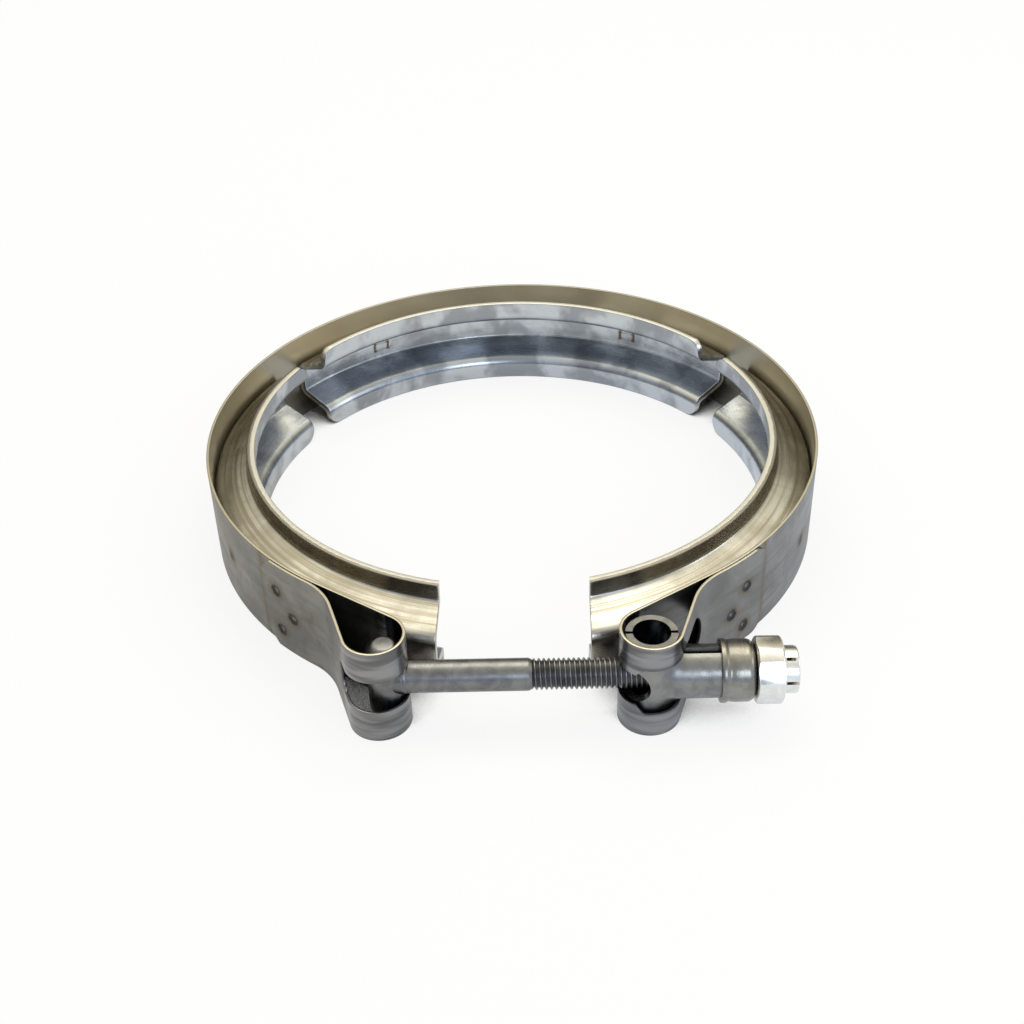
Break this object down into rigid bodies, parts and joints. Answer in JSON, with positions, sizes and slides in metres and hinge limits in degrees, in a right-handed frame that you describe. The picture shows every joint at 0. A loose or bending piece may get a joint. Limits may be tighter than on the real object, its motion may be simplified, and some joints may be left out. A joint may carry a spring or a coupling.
{
  "type": "v band clamp",
  "caption": "V-band retaining clamp: a stainless strap with V-section segments inside it, closed by a T-bolt, a folded trunnion and a slotted lock nut.",
  "frame": {"origin": "middle of the ring: on its axis, half way between the strap's two edges", "axes": "+Z along the ring's axis, up when the clamp lies flat; -Y from the ring's axis to the closure; +X along the T-bolt, from its head to its nut"},
  "size_m": [0.1788, 0.1917, 0.0286],
  "materials": {
    "strap_stainless": "matt cold rolled",
    "segment_stainless": "rolled, semi bright",
    "bolt_steel": "satin grey",
    "trunnion_stainless": "satin, slightly stained",
    "ferrule_steel": "satin, heat tinted",
    "nut_plating": "silver plated, soft satin"
  },
  "bodies": {
    "band": {"strap": "strap_stainless", "left_segment": "segment_stainless", "rear_segment": "segment_stainless", "right_segment": "segment_stainless"},
    "trunnion_unit": {"trunnion": "trunnion_stainless", "ferrule": "ferrule_steel"},
    "t_bolt": {"t_bolt_head": "bolt_steel", "t_bolt_stud": "bolt_steel"},
    "nut": {"lock_nut": "nut_plating"}
  },
  "joints": [
    {"name": "trunnion_swivel", "type": "hinge", "parent": "band", "child": "trunnion_unit", "pos_m": [0.0342, -0.09376, 0], "axis": [0, 0, 1], "range_deg": [-0.7, 0.7]},
    {"name": "nut_turn", "type": "hinge", "parent": "trunnion_unit", "child": "nut", "pos_m": [0.065, -0.09376, 0], "axis": [1, 0, 0], "range_deg": [0, 1080]},
    {"name": "bolt_travel", "type": "slide", "parent": "trunnion_unit", "child": "t_bolt", "axis": [-1, 0, 0], "range_m": [0, 0.0038]}
  ],
  "couplings": [
    {"joint": "bolt_travel", "follows": "nut_turn", "m_per_rad": 0.00019894}
  ]
}
